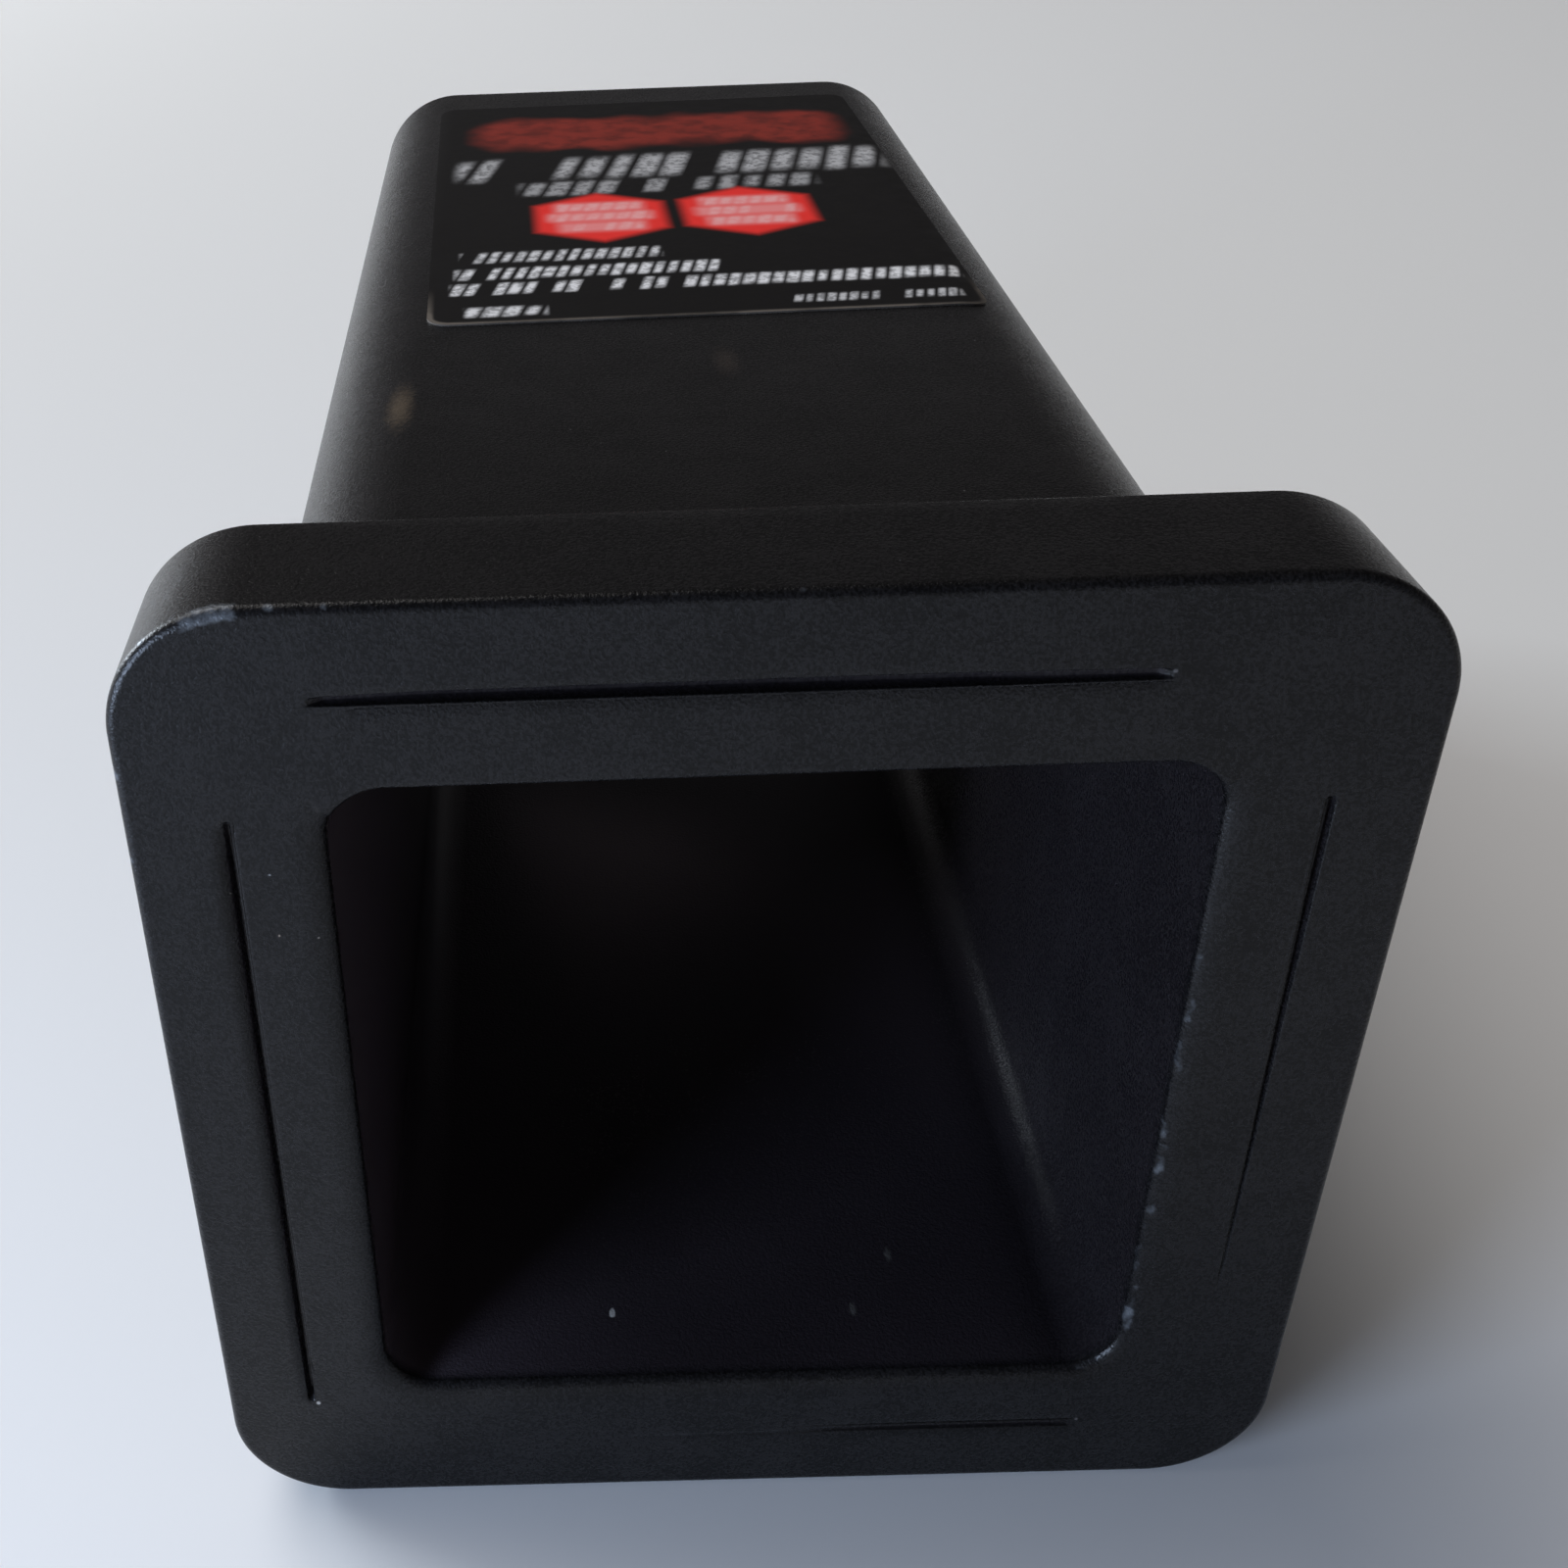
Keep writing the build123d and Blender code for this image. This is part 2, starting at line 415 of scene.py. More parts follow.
# %% [markdown]
# ## Soft steps, lumps and normals
#
# Chips and wear are uneven, and nowhere do they stop at a straight line. They are made of soft
# steps, which fade a form in and out, and of random lumps in space, which break it up. A chip is
# carved along the surface's own normals, and wear is kept as a number for each point.

# %% Surface helpers
LATTICE_SIZE = 4096  # random heights, shared out over the lattice
LATTICE_MIX = (73856093, 19349663, 83492791)  # large primes that mix a lattice point's three places


def smooth(value, low, high):
    """0 below low, 1 above high, and a soft step between them."""
    k = np.clip((value - low) / (high - low), 0, 1)
    return k * k * (3 - 2 * k)


def lumps(points, size, seed):
    """Random soft lumps between -1 and 1, about as far apart as size: random heights on a cubic
    lattice, blended between the eight lattice points around each point."""
    q = points / size
    cell = np.floor(q).astype(np.int64)
    f = q - cell
    f = f * f * (3 - 2 * f)
    heights = np.random.default_rng(seed).uniform(-1, 1, LATTICE_SIZE)
    total = np.zeros(points.shape[:-1])
    for corner in np.ndindex(2, 2, 2):
        key = (cell + corner) * LATTICE_MIX
        weight = np.prod(np.where(corner, f, 1 - f), -1)
        total += weight * heights[(key[..., 0] ^ key[..., 1] ^ key[..., 2]) % LATTICE_SIZE]
    return total


def grid_normals(points):
    """A unit normal at each point of a closed grid: the cross product of the step along the rows
    and the step along the columns."""
    a = np.roll(points, -1, 0) - np.roll(points, 1, 0)
    b = np.roll(points, -1, 1) - np.roll(points, 1, 1)
    n = np.cross(a, b)
    return n / np.maximum(np.linalg.norm(n, axis=-1, keepdims=True), 1e-12)


def outward(points, faces):
    """The faces, turned round if they enclose a negative volume, so that they face outwards."""
    a, b, c, d = (points[faces[:, k]] for k in range(4))
    volume = (np.einsum("ij,ij", a, np.cross(b, c)) + np.einsum("ij,ij", a, np.cross(c, d))) / 6
    print("volume, cubic mm:", round(abs(volume), 1))
    return faces if volume > 0 else faces[:, ::-1]


def add_value(piece, name, values):
    """A number for each point of the mesh, which a material reads with an Attribute node."""
    layer = piece.data.attributes.new(name, "FLOAT", "POINT")
    layer.data.foreach_set("value", np.ascontiguousarray(values, np.float32).ravel())
    print(piece.name, name, "goes up to", round(float(np.max(values)), 2))


# %% [markdown]
# ## The seams
#
# The tube passes through a cut-out in the collar. It is welded at the four corners, ground flush
# and painted over, and between the welds a straight seam stays open on each side. No two seams
# are alike: the left one is wide, with a soft lip on the collar's side, the top one is even, the
# right one is half filled with paint from the tube's side and fades out at its lower end, and the
# bottom one is a shallow trough that runs out into a crease. Each seam is a table, read from the
# photograph: how far along it, how far out its two edges are from the tube's axis, how deep it is,
# and how wide and how deep the lip is. Everything between the rows of a table is interpolated.

# %% Seam tables
FRONT = round(cad_box[0][1] / MM, 2)  # y of the mouth's plane, mm
HALF_COLLAR = round(cad_box[1][0] / MM, 2)
RIM = 6.35  # how far the collar stands out past the tube
HALF_TUBE = HALF_COLLAR - RIM
INNER_WALL = (-0.08, 0.10)  # from a seam's inner edge: where its wall starts and where it ends
OUTER_WALL = (-0.12, 0.14)
PAST_BORE = 30  # mm out from the axis: nothing nearer belongs to a seam

# along, inner edge, outer edge, depth, lip width, lip depth
seams = {
    "top": [
        (-26.6, 31.80, 32.26, 0.0, 0.5, 0.0),
        (-25.6, 31.80, 32.30, 0.55, 0.6, 0.06),
        (-20.0, 31.80, 32.42, 0.85, 0.7, 0.12),
        (0.0, 31.80, 32.50, 0.90, 0.7, 0.12),
        (11.0, 31.80, 32.50, 0.80, 0.6, 0.10),
        (15.0, 31.84, 32.46, 0.60, 0.5, 0.08),
        (21.0, 31.86, 32.42, 0.50, 0.5, 0.06),
        (21.9, 31.88, 32.38, 0.0, 0.4, 0.0),
    ],
    "left": [
        (-27.4, 31.82, 32.24, 0.0, 0.8, 0.0),
        (-26.8, 31.82, 32.26, 0.90, 0.8, 0.20),
        (-20.0, 31.82, 32.26, 1.10, 0.9, 0.42),
        (-5.0, 31.82, 32.24, 1.10, 1.0, 0.52),
        (10.0, 31.82, 32.24, 1.10, 1.1, 0.55),
        (21.0, 31.82, 32.22, 1.00, 1.0, 0.48),
        (23.6, 31.82, 32.18, 0.60, 0.9, 0.30),
        (24.2, 31.82, 32.14, 0.0, 0.6, 0.0),
    ],
    "right": [
        (-18.7, 32.22, 32.34, 0.0, 0.2, 0.0),
        (-16.0, 32.21, 32.36, 0.20, 0.2, 0.02),
        (-4.0, 32.16, 32.37, 0.35, 0.2, 0.02),
        (7.0, 32.04, 32.38, 0.50, 0.25, 0.03),
        (16.0, 31.94, 32.40, 0.65, 0.25, 0.03),
        (23.0, 31.92, 32.42, 0.65, 0.25, 0.03),
        (23.6, 31.92, 32.40, 0.0, 0.2, 0.0),
    ],
    "bottom": [
        (-10.0, 32.30, 32.55, 0.0, 0.6, 0.0),
        (-6.0, 32.25, 32.60, 0.03, 0.7, 0.02),
        (3.0, 32.10, 32.50, 0.06, 0.7, 0.02),
        (6.5, 31.95, 32.35, 0.20, 0.8, 0.05),
        (12.0, 31.90, 32.36, 0.32, 0.9, 0.08),
        (22.0, 31.86, 32.42, 0.38, 0.9, 0.10),
        (23.4, 31.86, 32.42, 0.30, 0.8, 0.06),
        (24.1, 31.86, 32.40, 0.0, 0.6, 0.0),
    ],
}
# how to read the place along a seam and the distance out from the axis, from x and z
seam_axes = {
    "top": lambda x, z: (x, z),
    "bottom": lambda x, z: (x, -z),
    "left": lambda x, z: (z, -x),
    "right": lambda x, z: (z, x),
}


def seam_depth(x, z):
    """How far the collar's face is sunk at a point. Between a seam's edges it is the seam's depth,
    with steep walls. Outside them the lip rises to the face as the square of the distance that
    is left. The deepest of the four seams counts."""
    sunk = np.zeros(np.broadcast(x, z).shape)
    for side, table in seams.items():
        along, out = seam_axes[side](x, z)
        rows = np.array(table).T
        inner, outer, deep, width, lip = (np.interp(along, rows[0], r) for r in rows[1:])
        wall = smooth(out, inner + INNER_WALL[0], inner + INNER_WALL[1])
        wall = wall * (1 - smooth(out, outer + OUTER_WALL[0], outer + OUTER_WALL[1]))
        left = np.clip(1 - (out - outer) / width, 0, 1)
        slope = lip * left**2 * (out > outer)
        near = (out > PAST_BORE) & (along > rows[0][0]) & (along < rows[0][-1])
        sunk = np.maximum(sunk, np.where(near, np.maximum(deep * wall, slope), 0))
    return sunk


for side, table in seams.items():
    print(side, "seam runs from", table[0][0], "to", table[-1][0], "mm")

# %% [markdown]
# ## The collar
#
# The collar is a thick square plate. Its profile goes from the tube outwards over the front face,
# round the eased front edge, along the side, round the back edge, in over the back face and
# forward again along the cut-out. Carried round the outlines, that profile is a closed ring. The
# four corner welds are flush with it and under the same paint, so this one skin stands for the
# collar and the welds.

# %% Collar profile
COLLAR_CORNER = 8.2
CUT_OUT = (32.45, 3.0)  # half width and corner radius
EDGE = 0.6
BACK_EDGE = 0.25
TUBE_CORNER = 9.2
HIDDEN = (31.60, 9.05)  # half width and corner radius just inside the tube's wall
HIDDEN_DEPTH = 0.03  # how far the skin starts behind the mouth's plane, out of sight in the wall
CUT_OUT_END = -6.6  # y where the skin ends, just behind the welds, mm


def corner_for(half):
    """Corner radius of the outline at this half width: it grows from the cut-out's to the
    collar's."""
    share = (half - CUT_OUT[0]) / (HALF_COLLAR - EDGE - CUT_OUT[0])
    return CUT_OUT[1] + share * (COLLAR_CORNER - EDGE - CUT_OUT[1])


# half widths of the rows over the face: close together over the seams, wide apart outside them
face_half = np.concatenate(
    [
        [31.78, 31.82, 31.87, 31.93, 32.0, 32.08, 32.15, 32.22, 32.28, 32.33, 32.38, 32.43],
        [32.48, 32.53, 32.58, 32.64, 32.70, 32.78, 32.88, 33.0, 33.2, 33.45, 33.75, 34.1, 34.6],
        [35.2, 35.8, 36.3, 36.7, 37.0, 37.25, 37.4],
    ]
)
turn = np.radians(np.linspace(0, 90, 9))
side_y = np.array([-9.9, -9.6, -9.2, -8.7, -8.0, -7.0, -5.5, -3.5, -1.5])
back_half = np.array([36.0, 34.0, 32.6])

profile = [(*HIDDEN, FRONT + HIDDEN_DEPTH, 0)]  # half width, corner radius, y, is it front face
# over the welds, from the tube's round corners out to the tighter ones of the cut-out
weld_from, weld_to = (HALF_TUBE, TUBE_CORNER), (31.76, corner_for(31.76))
for k in np.linspace(0, 1, 7):
    weld_half, weld_corner = (a + k * (b - a) for a, b in zip(weld_from, weld_to))
    profile.append((weld_half, weld_corner, FRONT, 1))
profile += [(h, corner_for(h), FRONT, 1) for h in face_half]
for a in turn:
    shrink = EDGE * (1 - math.sin(a))
    profile.append((HALF_COLLAR - shrink, COLLAR_CORNER - shrink, FRONT + EDGE * (1 - math.cos(a)), 0))
profile += [(HALF_COLLAR, COLLAR_CORNER, y, 0) for y in side_y]
for a in turn[::2]:
    shrink = BACK_EDGE * (1 - math.cos(a))
    profile.append((HALF_COLLAR - shrink, COLLAR_CORNER - shrink, -BACK_EDGE * (1 - math.sin(a)), 0))
profile += [(h, corner_for(h), 0.0, 0) for h in back_half]
profile += [(*CUT_OUT, y, 0) for y in (0.0, -3.0, CUT_OUT_END)]
profile.append((*HIDDEN, CUT_OUT_END, 0))
half, corner, depth_y, front = np.array(profile).T
print("points in the collar's profile:", len(profile))

# %% [markdown]
# The profile is carried round in rows. The rows are close together at the ends of the seams and at
# the worn corner, whose wear and painted highlight are kept on the points, and wider apart
# elsewhere. The seams are sunk into the front face as it is laid out.

# %% Collar surface
COLLAR_ROWS = 1180
ROW_SPACING = 0.36  # mm, on a plain stretch
CLOSER_BY = 0.20  # mm, at the worn corner
SEAM_END_SPACING = 0.16  # mm, within 1 mm of a seam's end


def collar_spacing(x, z):
    """Fine rows at the worn corner and at the ends of the seams, coarser ones elsewhere."""
    spacing = ROW_SPACING - CLOSER_BY * (1 - smooth(np.hypot(x + 34, z - 34), 14, 22))
    for side, table in seams.items():
        along, out = seam_axes[side](x, z)
        for end in (table[0][0], table[-1][0]):
            at_end = (np.abs(along - end) < 1.0) & (out > PAST_BORE)
            spacing = np.where(at_end, SEAM_END_SPACING, spacing)
    return spacing


t = rows_round(COLLAR_ROWS, HALF_COLLAR, COLLAR_CORNER, collar_spacing)
x, z = outline(t, half, corner)
y = np.broadcast_to(depth_y, x.shape) + seam_depth(x, z) * front
collar_points = np.stack([x, y, z], -1)
print("collar grid:", x.shape)

# %% [markdown]
# The collar's paint is worn where it was knocked. The round side of the top left corner is rubbed
# thin, from a line a little left of its top down on to the left side, and it is barest along a
# jagged line just behind the front edge. A short stretch of the front edge right of the corner is
# rubbed as well, and there are single spots along the edges. On the round side and on that stretch
# of edge the pale grey is partly worn paint and partly a painted highlight, where the corner catches
# the light from the left and behind. The wear is worked out from place and distance, because wear
# from the mesh's curvature alone would brighten all four corners alike.

# %% Collar wear and painted highlight
SPOT_BEHIND = 0.25  # mm, how far a spot's middle is behind the mouth's plane
spots = (  # x, z and radius in mm, and how hard the knock was
    (-28.04, 38.1, 0.50, 0.28),
    (-25.0, 38.0, 0.40, 0.20),
    (-31.2, 38.1, 1.10, 0.18),
    (-5.9, 38.1, 0.35, 0.16),
    (1.0, 38.1, 0.40, 0.15),
    (-38.0, 27.5, 0.60, 0.22),
    (-38.0, 21.5, 0.50, 0.15),
    (-38.0, 8.0, 0.40, 0.12),
)
spotted = np.zeros(x.shape)
for spot_x, spot_z, radius, force in spots:
    near = (x - spot_x) ** 2 + (z - spot_z) ** 2 + (y - FRONT - SPOT_BEHIND) ** 2
    spotted = np.maximum(spotted, np.exp(-near / (0.8 * radius) ** 2) * (0.3 + 2.2 * force))

coarse, small = lumps(collar_points, 1.2, 11), lumps(collar_points, 0.5, 12)
from_edge = np.hypot(np.clip(HALF_COLLAR - half, 0, None), depth_y - FRONT)
middle = HALF_COLLAR - COLLAR_CORNER
angle = np.degrees(np.arctan2(z - middle, x + middle))
rub_from = 110.5 + 0.8 * (depth_y - FRONT) + 1.6 * coarse
# the rubbed round side is partly a painted highlight, where the corner catches the light
rub_and_highlight = smooth(angle, rub_from, rub_from + 2.5) * (x < -middle + 0.5)
left_side = (z < middle) & (x < -middle)
rub_and_highlight = np.where(left_side, 1 - smooth(-z + 2.0 * coarse, -30, -23), rub_and_highlight)
rub_and_highlight *= 1 - smooth(np.hypot(x + 35.0, z - 35.0), 10, 14)

behind = depth_y - FRONT + 0.35 * small + 0.25 * coarse
along_line = np.exp(-(((behind - 0.55) / 0.30) ** 2))
barest = 0.55 * np.clip(small + 0.3, 0, 1) * along_line
rub_and_highlight *= smooth(behind, 0.30, 0.55) * (0.26 + 0.20 * small + barest)

# the band behind the front edge is partly a painted highlight on the lit edge
worn_x = x + 0.9 * small + 0.5 * coarse
edge_wear_and_highlight = (1 - smooth(from_edge + 0.2 * small, 0.5, 1.1)) * smooth(worn_x, -34.4, -32.4)
edge_wear_and_highlight = edge_wear_and_highlight * (1 - smooth(worn_x, -30.3, -28.4)) * (z > 30)
wear_and_highlight = np.clip(np.maximum(np.maximum(rub_and_highlight, (0.72 + 0.35 * small) * edge_wear_and_highlight), spotted), 0, 1)

# %% [markdown]
# The points become one closed mesh, and the wear, with its painted highlight, goes on to it as a
# value for each point. The piece rides on the model's only body and takes the place of the collar's
# solid and the four welds'.

# %% Collar piece
# the seams' floors turn a little paler: partly dust, partly painted fill light in their shade
SEAM_DUST_AND_FILL_LIGHT = 0.12  # the floors of the seams get a little of the bore's dust

faces = outward(collar_points.reshape(-1, 3), grid_faces(*x.shape, True, True))
collar = mesh_piece("collar_skin", collar_points.reshape(-1, 3) * MM, faces, paint)
add_value(collar, "wear_and_highlight", wear_and_highlight)
add_value(collar, "inside", SEAM_DUST_AND_FILL_LIGHT * smooth(seam_depth(x, z) * front, 0.15, 0.45))
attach(collar, "root")
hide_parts("collar", "weld_top_left", "weld_top_right", "weld_bottom_left", "weld_bottom_right")

# %% [markdown]
# ## The tube
#
# The tube's profile goes down the bore from the far end to the mouth, round the worn edge, over the
# rim, which is a little crowned, round the outside edge and back along the outside. The rim's
# inner edge is rubbed round over two millimetres on three sides and is crisp at the top. Its
# outside edge falls away a little where a seam leaves it bare, and lies flush where a weld is.

# %% Tube profile
TUBE_END = round(cad_box[1][1] / MM, 2)
HALF_BORE = 26.35
END_EDGE = 0.8  # radius of the far end's outside edge
END_BORE_EDGE = 0.5  # and of its inside edge
rim = np.array([26.36, 26.42, 26.52, 26.66, 26.82, 27.0, 27.25, 27.55, 27.9, 28.35, 28.9, 29.6])
rim = np.concatenate([rim, [30.3, 30.7, 31.0, 31.25, 31.42, 31.52, 31.60, 31.66, 31.71, 31.75]])
bore_y = np.array([135.4, 132, 120, 105, 90, 75, 60, 45, 30, 18, 8, 0, -5, -8, -9.2])
wall_y = np.array([-10.5, -9.5, -6.5, 0, 8, 18, 30, 45, 60, 75, 90, 105, 120, 132, 135.2])
end_turn = np.radians(np.linspace(0, 90, 6))

profile = [(HALF_BORE, y) for y in bore_y]
profile += [(h, FRONT) for h in rim]
rim_from, rim_to = len(bore_y), len(profile)
profile += [(HALF_TUBE, y) for y in wall_y]
for a in end_turn:
    shrink = END_EDGE * (1 - math.cos(a))
    profile.append((HALF_TUBE - shrink, TUBE_END - END_EDGE * (1 - math.sin(a))))
profile += [(30.0, TUBE_END), (28.0, TUBE_END)]
for a in end_turn:
    shrink = END_BORE_EDGE * (1 - math.sin(a))
    profile.append((HALF_BORE + shrink, TUBE_END - END_BORE_EDGE * (1 - math.cos(a))))
half, depth_y = np.array(profile).T
print("points in the tube's profile:", len(profile))

# %% [markdown]
# The worn rim isn't the same all round, so it can't be a plain fillet. Its depth is a function of
# the place on the rim, and it is taken off the flat rim of the profile. The bore's top wall also
# looks a little thicker than the others, so there the bore's surface is moved down.

# %% Tube surface
TUBE_ROWS = 880
WORN_WIDTH = 1.95  # mm, of the rim's inner edge
WORN_DEPTH = 0.85
CRISPER_WIDTH = 1.55  # mm, taken off them at the top
CRISPER_DEPTH = 0.50
THICKER_TOP = 0.32  # mm, more wall at the top left, and half as much at the top right
rim_falls = {  # width and depth of the outer edge's fall beside each seam, mm
    "top": (1.2, 0.16),
    "left": (0.22, 0.12),
    "right": (0.2, 0.04),
    "bottom": (0.7, 0.10),
}


def rim_depth(x, z, out):
    """How far the rim is sunk below the mouth's plane. The inner edge is a quarter of an ellipse,
    two millimetres wide and less than one deep, and small at the top. The outer edge falls away
    as a square over a short width, where a seam runs beside it."""
    top = smooth(z, 22, 25.5) * (np.abs(z) >= np.abs(x) - 1.5)
    width = WORN_WIDTH - CRISPER_WIDTH * top
    deep = WORN_DEPTH - CRISPER_DEPTH * top
    u = np.clip((HALF_BORE + width - out) / width, 0, 1)
    sunk = deep * (1 - np.sqrt(1 - u**2))
    for side, (wide, fall) in rim_falls.items():
        along, cross = seam_axes[side](x, z)
        rows = np.array(seams[side]).T
        open_share = np.interp(along, rows[0], np.clip(rows[3] / 0.5, 0, 1))
        beside = open_share * (cross > 29) * (np.abs(along) < 24)
        share_out = np.clip((out - (HALF_TUBE - wide)) / wide, 0, 1)
        sunk = np.maximum(sunk, beside * fall * share_out**2)
    return sunk


t = rows_round(TUBE_ROWS, HALF_TUBE, TUBE_CORNER, lambda x, z: np.full(x.shape, 0.27))
x, z = outline(t, half, half - (HALF_TUBE - TUBE_CORNER))
is_rim = np.zeros(len(half))
is_rim[rim_from:rim_to] = 1
y = np.broadcast_to(depth_y, x.shape) + rim_depth(x, z, half) * is_rim
z = z - THICKER_TOP * smooth(z, 20, 26) * (half < 27.5) * (1 - 0.5 * smooth(x, -20, 20))
tube_points = np.stack([x, y, z], -1)
print("tube grid:", x.shape)

# %% [markdown]
# Shanks that were pushed in have chipped the rim's inner edge on its right side. The chips are
# lumps, carved into the rim and rubbed bare, and the pale band along that edge is partly a painted
# highlight. On the left, the thin outer edge of the rim beside the seam gets a pale line, which is a
# painted highlight where that edge catches the light from the left. Inside, the bore's walls get a
# pale colour, partly fine dust and partly painted fill light in the shaded bore. It is thickest on
# the left wall and far in, and thin on the right wall.

# %% Chips, rim highlights and dust with painted fill light
CHIP_DEPTH = 0.10  # mm

edge_band = np.exp(-(((half - 26.6) / 0.45) ** 2)) * is_rim
right = smooth(x, 20, 25) * (1 - smooth(z, 14, 20))
chips = np.clip(lumps(tube_points, 1.3, 21) + 0.6 * lumps(tube_points, 0.5, 22), 0, 1.2)
normals = grid_normals(tube_points)
faces = outward(tube_points.reshape(-1, 3), grid_faces(*x.shape, True, True))
into = np.sign(normals[:, rim_to - 6, 1].mean())  # the sign that turns a normal into the rim
tube_points += normals * into * (edge_band * right * CHIP_DEPTH * chips)[..., None]

# the pale band on the right edge is partly chips and partly a painted highlight
tube_wear_and_highlight = edge_band * right * (0.30 + 0.45 * chips)
# a painted highlight along the left rim's outer edge
left_edge_highlight = np.exp(-(((half - 31.70) / 0.08) ** 2)) * is_rim
left_edge_highlight = left_edge_highlight * smooth(-x, 29, 31) * (np.abs(z) < 23.5)
left_highlight_strength = 0.40 + 0.25 * smooth(z, -12, 4) + 0.2 * lumps(tube_points, 2.0, 23)
tube_wear_and_highlight = np.maximum(tube_wear_and_highlight, left_edge_highlight * left_highlight_strength)

bore = (half < 26.4) & (depth_y > -9.5)
# pale bore colour: dust and painted fill light
dust_and_fill_light = 0.40 + 0.60 * np.maximum(smooth(-x, 5, 26), smooth(y, 5, 50))
dust_and_fill_light *= (1 - 0.78 * smooth(x, 18, 26)) * (0.9 + 0.1 * lumps(tube_points, 9.0, 24))

whole_tube = mesh_piece("tube_whole", tube_points.reshape(-1, 3) * MM, faces, paint)
add_value(whole_tube, "wear_and_highlight", tube_wear_and_highlight)
add_value(whole_tube, "inside", bore * dust_and_fill_light)

# %% [markdown]
# ## The pin hole
#
# The hitch pin goes through both side walls. The hole is cut with a Boolean modifier, because a
# round hole doesn't follow the grid. The cutter is a spool: a straight cylinder that flares where
# it leaves the tube, which gives the hole its small countersink. The modifier's result is kept as
# the tube's mesh, and the whole tube and the cutter are thrown away.

# %% Pin hole
PIN_RADIUS = 8.15
PIN_Y = 63.5
FLARE = 0.4
PAST = 3.0  # mm, how far the spool goes on past the tube
AXIS = 0.001  # mm, radius of the spool's ends, which are closed afterwards
STEPS_ROUND = 96


def turned_profile(profile, steps):
    """A profile of (radius, height) pairs turned round the vertical: each point goes to
    (radius x cos turn, radius x sin turn, height)."""
    turn = np.linspace(0, 2 * np.pi, steps, endpoint=False)[:, None]
    radius, height = np.array(profile).T
    height = np.broadcast_to(height, (steps, len(height)))
    return np.stack([np.cos(turn) * radius, np.sin(turn) * radius, height], -1).reshape(-1, 3)


spool = [(AXIS, -HALF_TUBE - PAST), (PIN_RADIUS + FLARE + PAST, -HALF_TUBE - PAST)]
spool += [(PIN_RADIUS, -HALF_TUBE + FLARE), (PIN_RADIUS, HALF_TUBE - FLARE)]
spool += [(PIN_RADIUS + FLARE + PAST, HALF_TUBE + PAST), (AXIS, HALF_TUBE + PAST)]
spool_points = turned_profile(spool, STEPS_ROUND)[:, [2, 1, 0]] + (0, PIN_Y, 0)
spool_faces = outward(spool_points, grid_faces(STEPS_ROUND, len(spool), close_rows=True))
cutter = mesh_piece("pin_cutter", spool_points * MM, spool_faces, paint)
shape = bmesh.new()
shape.from_mesh(cutter.data)
bmesh.ops.remove_doubles(shape, verts=shape.verts, dist=0.01 * MM)
shape.to_mesh(cutter.data)
shape.free()

cut = whole_tube.modifiers.new("pin_hole", "BOOLEAN")
cut.operation = "DIFFERENCE"
cut.solver = "EXACT"
cut.object = cutter
bpy.context.view_layer.update()
cut_mesh = bpy.data.meshes.new_from_object(
    whole_tube.evaluated_get(bpy.context.evaluated_depsgraph_get())
)
tube = bpy.data.objects.new("tube_body", cut_mesh)
bpy.context.scene.collection.objects.link(tube)
for spare in (whole_tube, cutter):
    bpy.data.objects.remove(spare, do_unlink=True)
cut_mesh.set_sharp_from_angle(angle=math.radians(35))
print("tube_body has", sum(len(p.vertices) - 2 for p in cut_mesh.polygons), "triangles")
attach(tube, "root")
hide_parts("tube")

# %% [markdown]
# ## The label
#
# The label is a thin black film with white and red print. Its own shape is right in the CAD model,
# so only its material is made here. The print is worked out from Object coordinates: they are
# turned and moved so that they run across and along the film from its middle, and each printed
# shape is a mask: a soft box, a hexagon, or a row of small blocks. The masks have soft edges,
# because the label lies well behind the mouth and is out of focus.

# %% Print shapes
HEXAGON_SLANT = (0.46, 0.79)  # across and along, the way that the slanted sides face


def off_middle(tree, value, middle):
    """How far a coordinate is from a middle, to either side."""
    return sums(tree, "ABSOLUTE", sums(tree, "SUBTRACT", value, middle))


def hypotenuse(tree, a, b):
    """The square root of a squared plus b squared."""
    squares = sums(tree, "ADD", sums(tree, "MULTIPLY", a, a), sums(tree, "MULTIPLY", b, b))
    return sums(tree, "SQRT", squares)


def box_mask(tree, across, along, middle, half, corner, soft):
    """1 inside a box with round corners and 0 outside, from the distance to its edge: the length
    of the part of the offset that is outside the box shrunk by its corner radius, less that
    radius."""
    dx = sums(tree, "SUBTRACT", off_middle(tree, across, middle[0]), half[0] - corner)
    dy = sums(tree, "SUBTRACT", off_middle(tree, along, middle[1]), half[1] - corner)
    far = hypotenuse(tree, sums(tree, "MAXIMUM", dx, 0.0), sums(tree, "MAXIMUM", dy, 0.0))
    distance = sums(tree, "SUBTRACT", far, corner)
    return ramp(tree, distance, soft / 2, -soft / 2), distance


def hexagon_mask(tree, across, along, middle, apothem, soft):
    """1 inside a hexagon that stands on a point: the larger of its distance across and its distance
    along the slanted sides, less the distance from its middle to a side."""
    dx, dy = off_middle(tree, across, middle[0]), off_middle(tree, along, middle[1])
    slant = sums(tree, "MULTIPLY", dx, HEXAGON_SLANT[0])
    slant = sums(tree, "MULTIPLY_ADD", dy, HEXAGON_SLANT[1], slant)
    distance = sums(tree, "SUBTRACT", sums(tree, "MAXIMUM", dx, slant), apothem)
    return ramp(tree, distance, soft / 2, -soft / 2)


# %% [markdown]
# A row of blocks could be many boxes, one by one. One group does it with far fewer nodes: the strip
# is cut into cells of one pitch, leaning a little. In each cell a random number sets how wide and
# how tall the block is, and leaves one cell in eight empty. Blotches make the ink uneven.

